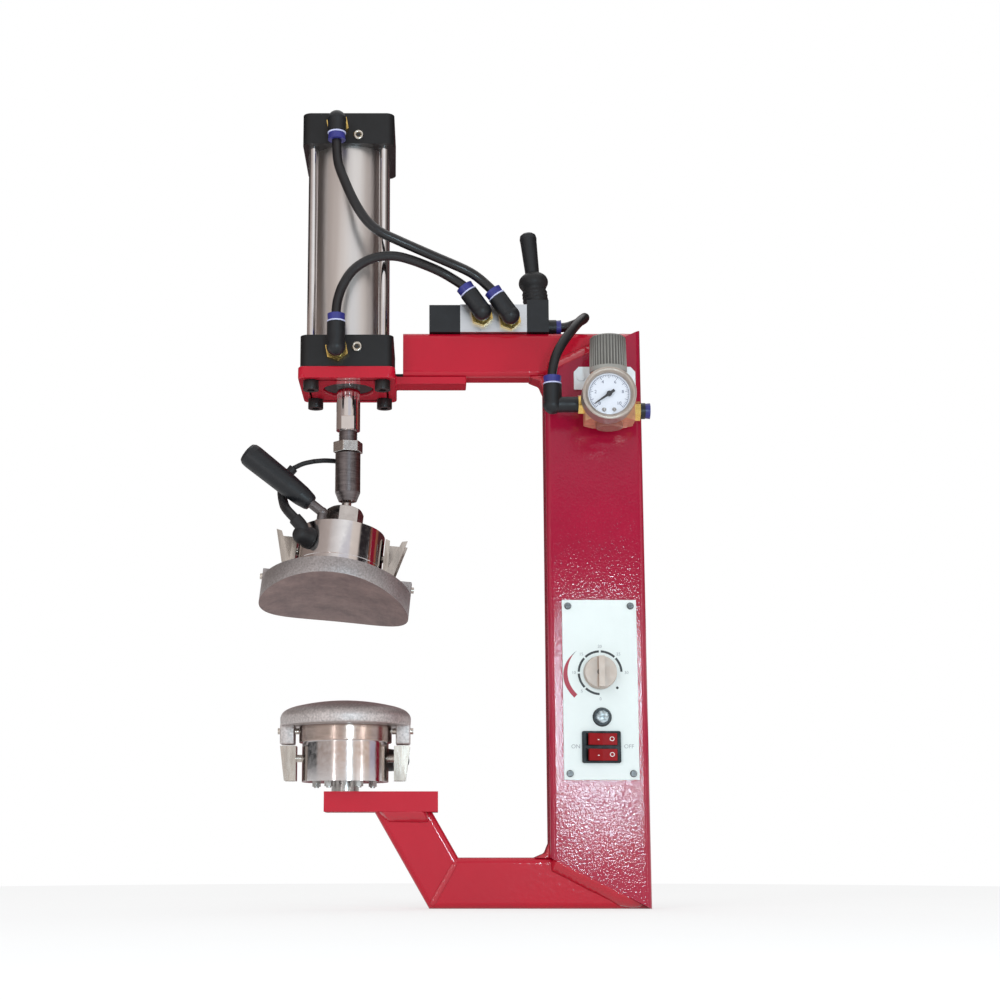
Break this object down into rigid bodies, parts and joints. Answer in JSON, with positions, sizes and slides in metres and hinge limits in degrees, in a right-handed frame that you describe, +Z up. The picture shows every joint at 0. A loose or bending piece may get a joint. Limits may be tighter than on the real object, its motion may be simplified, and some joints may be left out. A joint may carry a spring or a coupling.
{
  "type": "tire vulcanizer",
  "caption": "Pneumatic tyre patch press: red C frame, air cylinder driving a tilting heated head onto a domed heated head, with lever valve, regulator and timer panel.",
  "frame": {"origin": "centre of the base bar's underside", "axes": "+Z up, +X from the heads towards the post, +Y away from the panel"},
  "size_m": [0.3342, 0.139, 0.658],
  "materials": {
    "red_paint": "glossy red enamel with orange peel",
    "black_caps": "black anodised",
    "barrel_metal": "satin anodised",
    "chrome": "polished",
    "zinc_sheet": "bright zinc",
    "bolt_steel": "zinc plated",
    "dark_steel": "turned steel",
    "brass": "plain",
    "heater_metal": "cast ring",
    "plate_metal": "cast and turned",
    "black_plastic": "satin",
    "black_rubber": "dull",
    "hose_black": "smooth polyurethane",
    "collar_blue": "moulded",
    "knob_grey": "moulded",
    "knob_beige": "moulded",
    "white_paint": "semi gloss",
    "drain_brown": "moulded",
    "gauge_metal": "plated",
    "needle_black": "painted",
    "lamp_clear": "clear moulding",
    "rocker_red": "moulded"
  },
  "bodies": {
    "frame": {"post": "red_paint", "upper_arm": "red_paint", "base_bar": "red_paint", "strut": "red_paint", "platform": "red_paint", "cylinder_plate": "red_paint", "weld_beads": "red_paint", "front_cap": "black_caps", "rear_cap": "black_caps", "barrel": "barrel_metal", "tie_rods": "chrome", "lower_cup": "chrome", "lower_clips": "zinc_sheet", "mount_bolts": "bolt_steel", "lower_fixings": "bolt_steel", "panel_screws": "bolt_steel", "brass_fittings": "brass", "regulator_body": "brass", "lower_heater": "heater_metal", "lower_plate": "plate_metal", "valve_body": "plate_metal", "valve_end": "black_plastic", "lever_housing": "black_plastic", "fitting_bodies": "black_plastic", "switch_frame": "black_plastic", "timer_body": "black_plastic", "lever_boot": "black_rubber", "cable_glands": "black_rubber", "lead_riser": "black_rubber", "hose_rear": "hose_black", "hose_front": "hose_black", "hose_supply": "hose_black", "fitting_collars": "collar_blue", "panel": "white_paint", "regulator_bracket": "white_paint", "drain_cap": "drain_brown", "gauge_case": "gauge_metal", "pilot_lamp": "lamp_clear"},
    "rod": {"piston": "plate_metal", "piston_rod": "chrome", "lock_nut": "bolt_steel", "ball_coupling": "dark_steel"},
    "race": {"ball_race": "brass"},
    "ball": {"swivel_ball": "chrome"},
    "upper_head": {"hex_boss": "chrome", "upper_cup": "chrome", "upper_plate": "plate_metal", "upper_heater": "heater_metal", "upper_clips": "zinc_sheet", "handle_rod": "bolt_steel", "handle_grip": "black_plastic", "upper_boot": "black_rubber", "upper_lead": "black_rubber"},
    "valve_lever": {"lever": "black_plastic"},
    "spool": {"valve_spool": "bolt_steel"},
    "pressure_knob": {"regulator_knob": "knob_grey"},
    "needle": {"gauge_needle": "needle_black"},
    "timer": {"timer_knob": "knob_beige"},
    "rocker_one": {"rocker_upper": "rocker_red"},
    "rocker_two": {"rocker_lower": "rocker_red"}
  },
  "joints": [
    {"name": "press_stroke", "type": "slide", "parent": "frame", "child": "rod", "axis": [0, 0, -1], "range_m": [0, 0.06], "deforming": ["lead_riser"]},
    {"name": "side_tilt", "type": "hinge", "parent": "rod", "child": "race", "pos_m": [-0.156, 0, 0.337], "axis": [0, 1, 0], "range_deg": [-12.5, 1.5], "deforming": ["upper_lead"]},
    {"name": "front_tilt", "type": "hinge", "parent": "race", "child": "ball", "pos_m": [-0.156, 0, 0.337], "axis": [0.9954, 0, -0.0958], "range_deg": [-0.5, 22.5], "deforming": ["upper_lead"]},
    {"name": "head_swivel", "type": "hinge", "parent": "ball", "child": "upper_head", "pos_m": [-0.156, 0, 0.337], "axis": [0.0941, 0.1908, 0.9771], "range_deg": [-20, 20], "deforming": ["upper_lead"]},
    {"name": "lever_throw", "type": "hinge", "parent": "frame", "child": "valve_lever", "pos_m": [0.0032, 0, 0.497], "axis": [0, 1, 0], "range_deg": [0, 14], "deforming": ["lever_boot"]},
    {"name": "spool_slide", "type": "slide", "parent": "frame", "child": "spool", "axis": [-1, 0, 0], "range_m": [0, 0.00296]},
    {"name": "pressure_turn", "type": "hinge", "parent": "frame", "child": "pressure_knob", "pos_m": [0.0575, -0.05, 0.4425], "axis": [0, 0, -1], "range_deg": [0, 1040]},
    {"name": "needle_turn", "type": "hinge", "parent": "frame", "child": "needle", "pos_m": [0.0545, -0.086, 0.4016], "axis": [0, 1, 0], "range_deg": [0, 260]},
    {"name": "timer_turn", "type": "hinge", "parent": "frame", "child": "timer", "pos_m": [0.0495, -0.022, 0.1865], "axis": [0, 1, 0], "range_deg": [-180, 135]},
    {"name": "rocker_one_press", "type": "hinge", "parent": "frame", "child": "rocker_one", "pos_m": [0.0495, -0.022, 0.1331], "axis": [0, 0, -1], "range_deg": [0, 24]},
    {"name": "rocker_two_press", "type": "hinge", "parent": "frame", "child": "rocker_two", "pos_m": [0.0495, -0.022, 0.1207], "axis": [0, 0, -1], "range_deg": [0, 24]}
  ],
  "couplings": [
    {"joint": "spool_slide", "follows": "lever_throw", "m_per_rad": 0.012},
    {"joint": "needle_turn", "follows": "pressure_turn", "ratio": 0.25}
  ]
}
